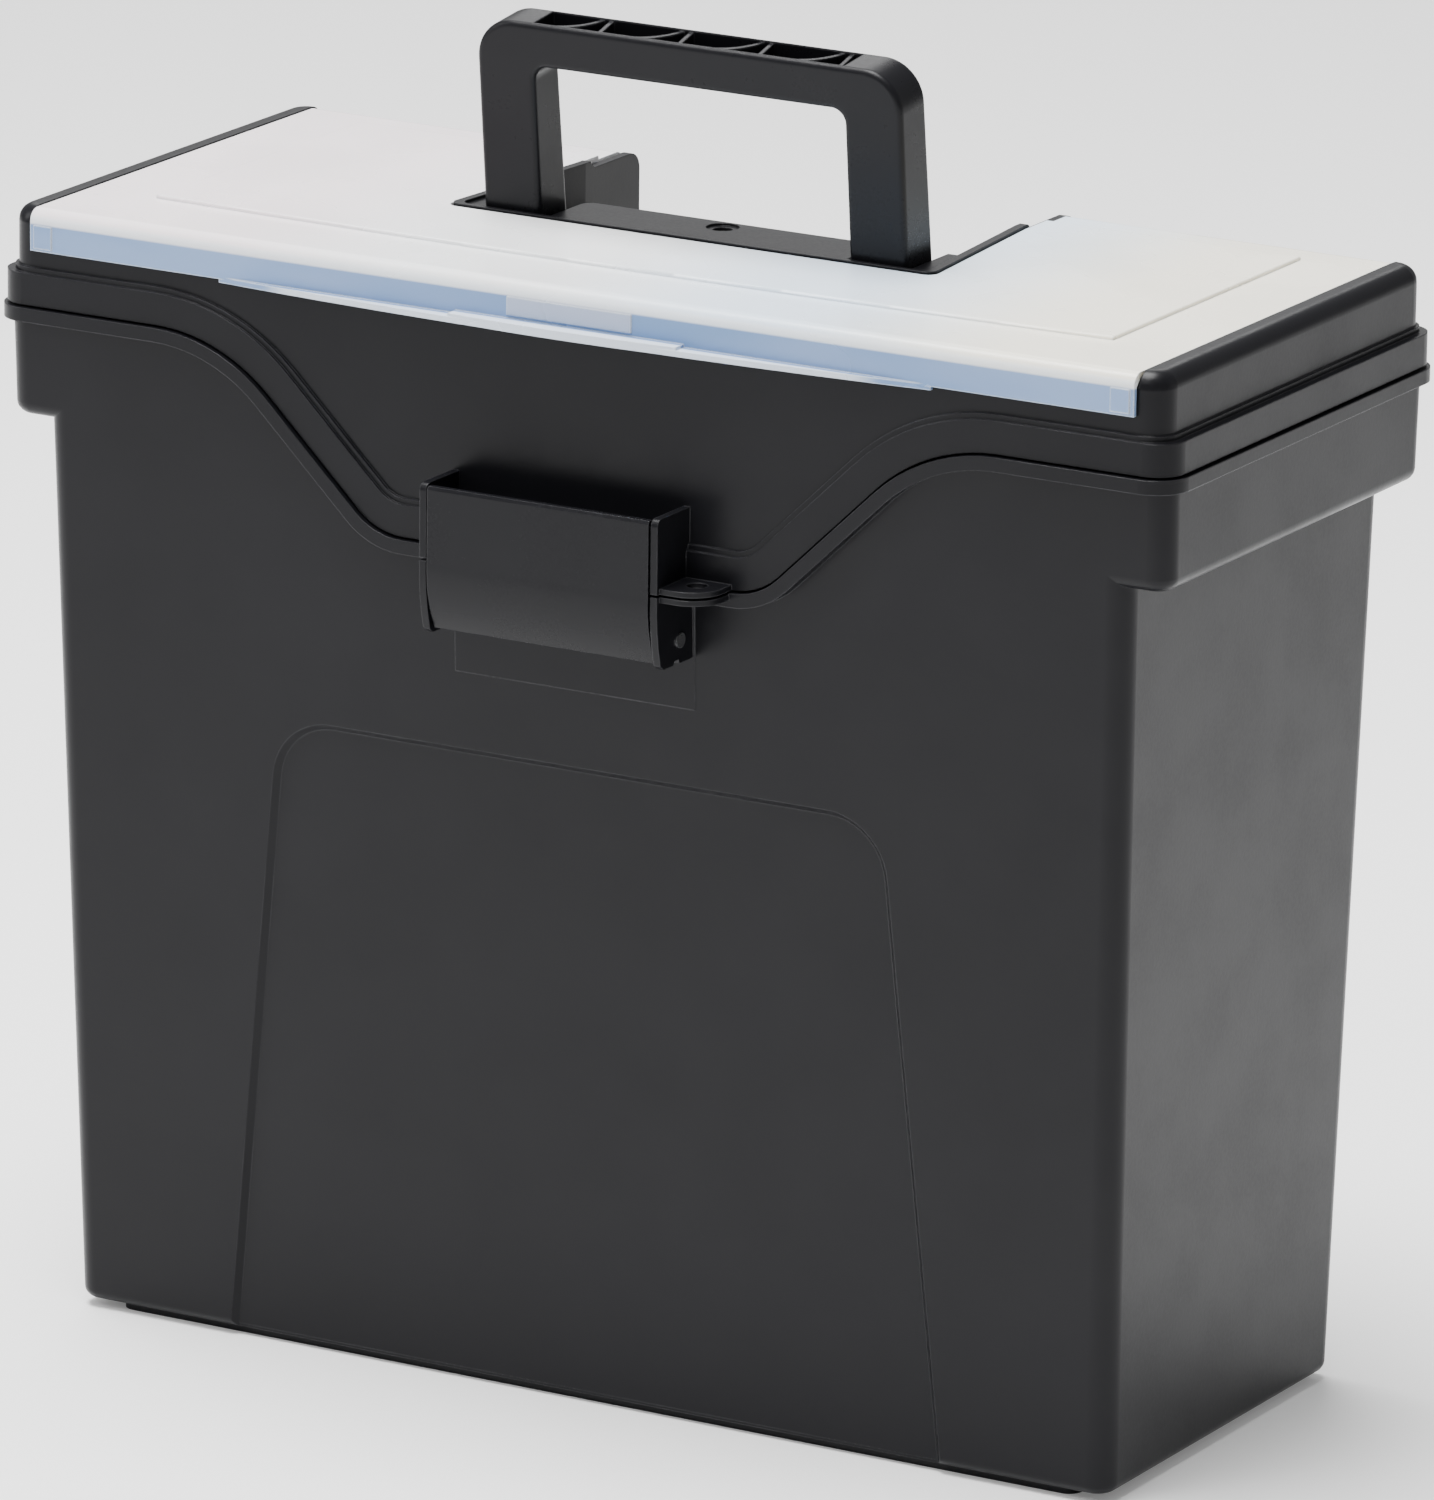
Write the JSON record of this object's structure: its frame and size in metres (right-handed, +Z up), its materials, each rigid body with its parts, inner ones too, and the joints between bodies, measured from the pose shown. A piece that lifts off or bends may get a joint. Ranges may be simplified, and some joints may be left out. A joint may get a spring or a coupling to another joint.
{
  "type": "portable file box",
  "caption": "Portable box for letter-size hanging files: tapered bin, hinged organiser lid with frosted cover, fold-down handle and swing latch.",
  "frame": {"origin": "centre of the underside of the foot, on the surface the box stands on", "axes": "+X to the right along the front, +Y to the back (hinge side), +Z up"},
  "size_m": [0.352, 0.1723, 0.3582],
  "materials": {
    "black_plastic": "fine satin moulded polypropylene",
    "frosted_plastic": "frosted translucent polypropylene",
    "steel": "plain drawn wire and screw steel"
  },
  "bodies": {
    "bin": {"bin_shell": "black_plastic", "latch_pivot_pin": "steel", "lid_hinge_pin_left": "steel", "lid_hinge_pin_right": "steel"},
    "lid": {"lid_shell": "black_plastic", "handle_bridge_cap": "black_plastic", "bridge_screw": "steel", "handle_pivot_pin_left": "steel", "handle_pivot_pin_right": "steel", "cover_hinge_pin_left": "steel", "cover_hinge_pin_right": "steel"},
    "cover": {"organiser_cover": "frosted_plastic"},
    "handle": {"carry_handle": "black_plastic"},
    "latch": {"front_latch": "black_plastic"}
  },
  "joints": [
    {"name": "lid_hinge", "type": "hinge", "parent": "bin", "child": "lid", "pos_m": [0, 0.0795, 0.2777], "axis": [-1, 0, 0], "range_deg": [0, 105]},
    {"name": "cover_hinge", "type": "hinge", "parent": "lid", "child": "cover", "pos_m": [0, 0.0665, 0.3003], "axis": [-1, 0, 0], "range_deg": [0, 105]},
    {"name": "handle_fold", "type": "hinge", "parent": "lid", "child": "handle", "pos_m": [0, -0.002, 0.295], "axis": [-1, 0, 0], "range_deg": [0, 96.6]},
    {"name": "latch_swing", "type": "hinge", "parent": "bin", "child": "latch", "pos_m": [0, -0.0764, 0.2167], "axis": [1, 0, 0], "range_deg": [0, 95]}
  ],
  "couplings": [
    {"joint": "handle_fold", "follows": "cover_hinge", "ratio": 0.919}
  ]
}
